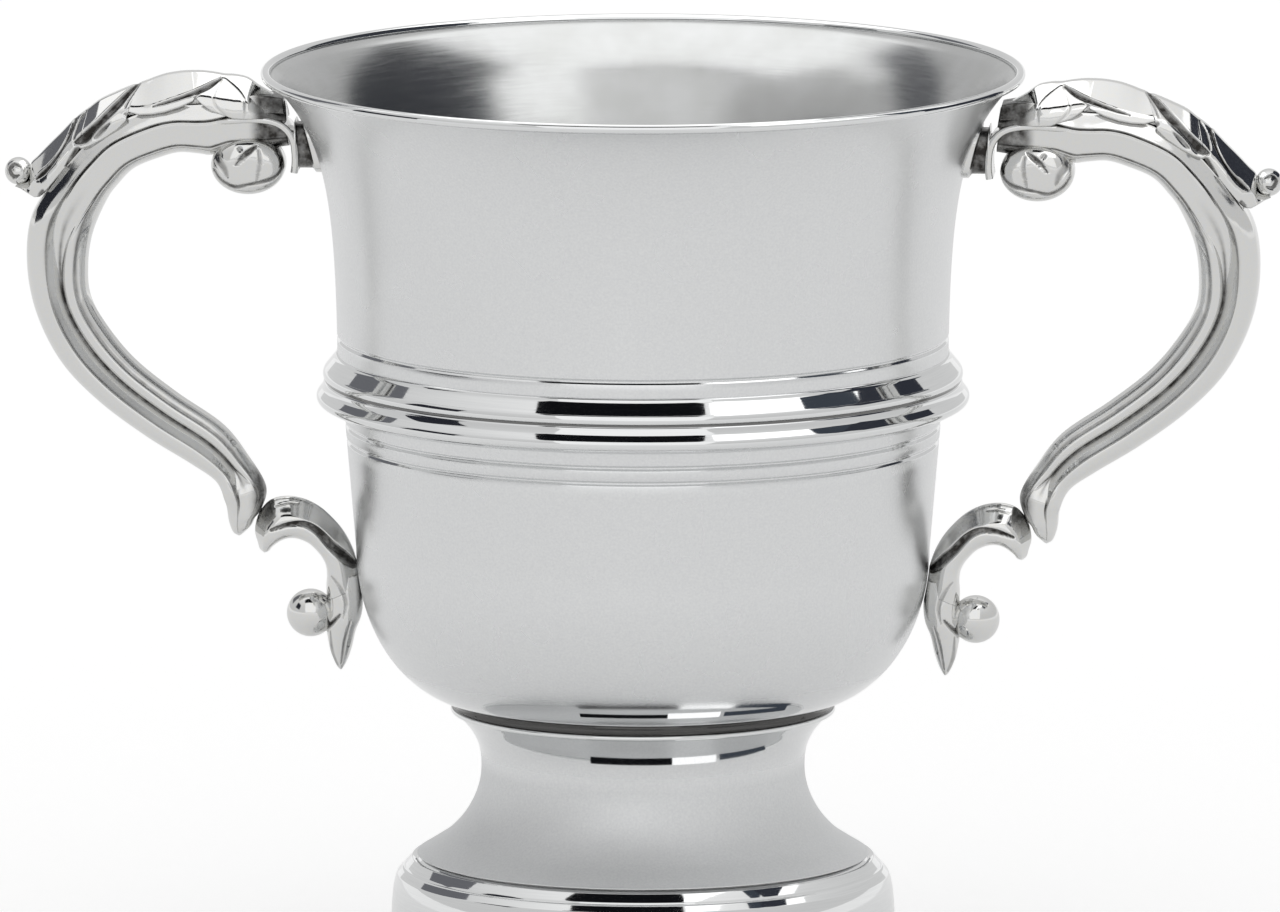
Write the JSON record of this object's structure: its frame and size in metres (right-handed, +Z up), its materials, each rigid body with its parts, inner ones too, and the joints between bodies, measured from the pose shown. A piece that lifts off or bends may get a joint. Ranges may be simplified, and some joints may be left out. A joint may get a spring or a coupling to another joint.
{
  "type": "two-handled trophy cup",
  "caption": "Footed pewter cup with a flared drum, a rounded bowl, a girdle moulding and two cast scroll handles, for display, presentation or drinking.",
  "frame": {"origin": "centre of the base on the surface the cup stands on", "axes": "+Z up the axis of the cup, +X towards the right handle, +Y towards the back"},
  "size_m": [0.2124, 0.127, 0.1524],
  "materials": {
    "satin_pewter": "satin, spun pewter",
    "polished_pewter": "bright polished pewter",
    "cast_pewter": "buffed cast pewter"
  },
  "bodies": {
    "root": {"rim_wire": "polished_pewter", "upper_body": "satin_pewter", "girdle_band": "polished_pewter", "lower_bowl": "satin_pewter", "bowl_collar": "polished_pewter", "stem": "satin_pewter", "foot_step": "polished_pewter", "foot_ring": "polished_pewter", "left_handle_arm": "cast_pewter", "left_handle_volute": "cast_pewter", "left_handle_leaf": "cast_pewter", "left_handle_tip_bead": "cast_pewter", "left_handle_socket": "cast_pewter", "left_bracket_scroll": "cast_pewter", "left_bracket_ball": "cast_pewter", "left_bracket_tail": "cast_pewter", "right_handle_arm": "cast_pewter", "right_handle_volute": "cast_pewter", "right_handle_leaf": "cast_pewter", "right_handle_tip_bead": "cast_pewter", "right_handle_socket": "cast_pewter", "right_bracket_scroll": "cast_pewter", "right_bracket_ball": "cast_pewter", "right_bracket_tail": "cast_pewter"}
  },
  "joints": []
}
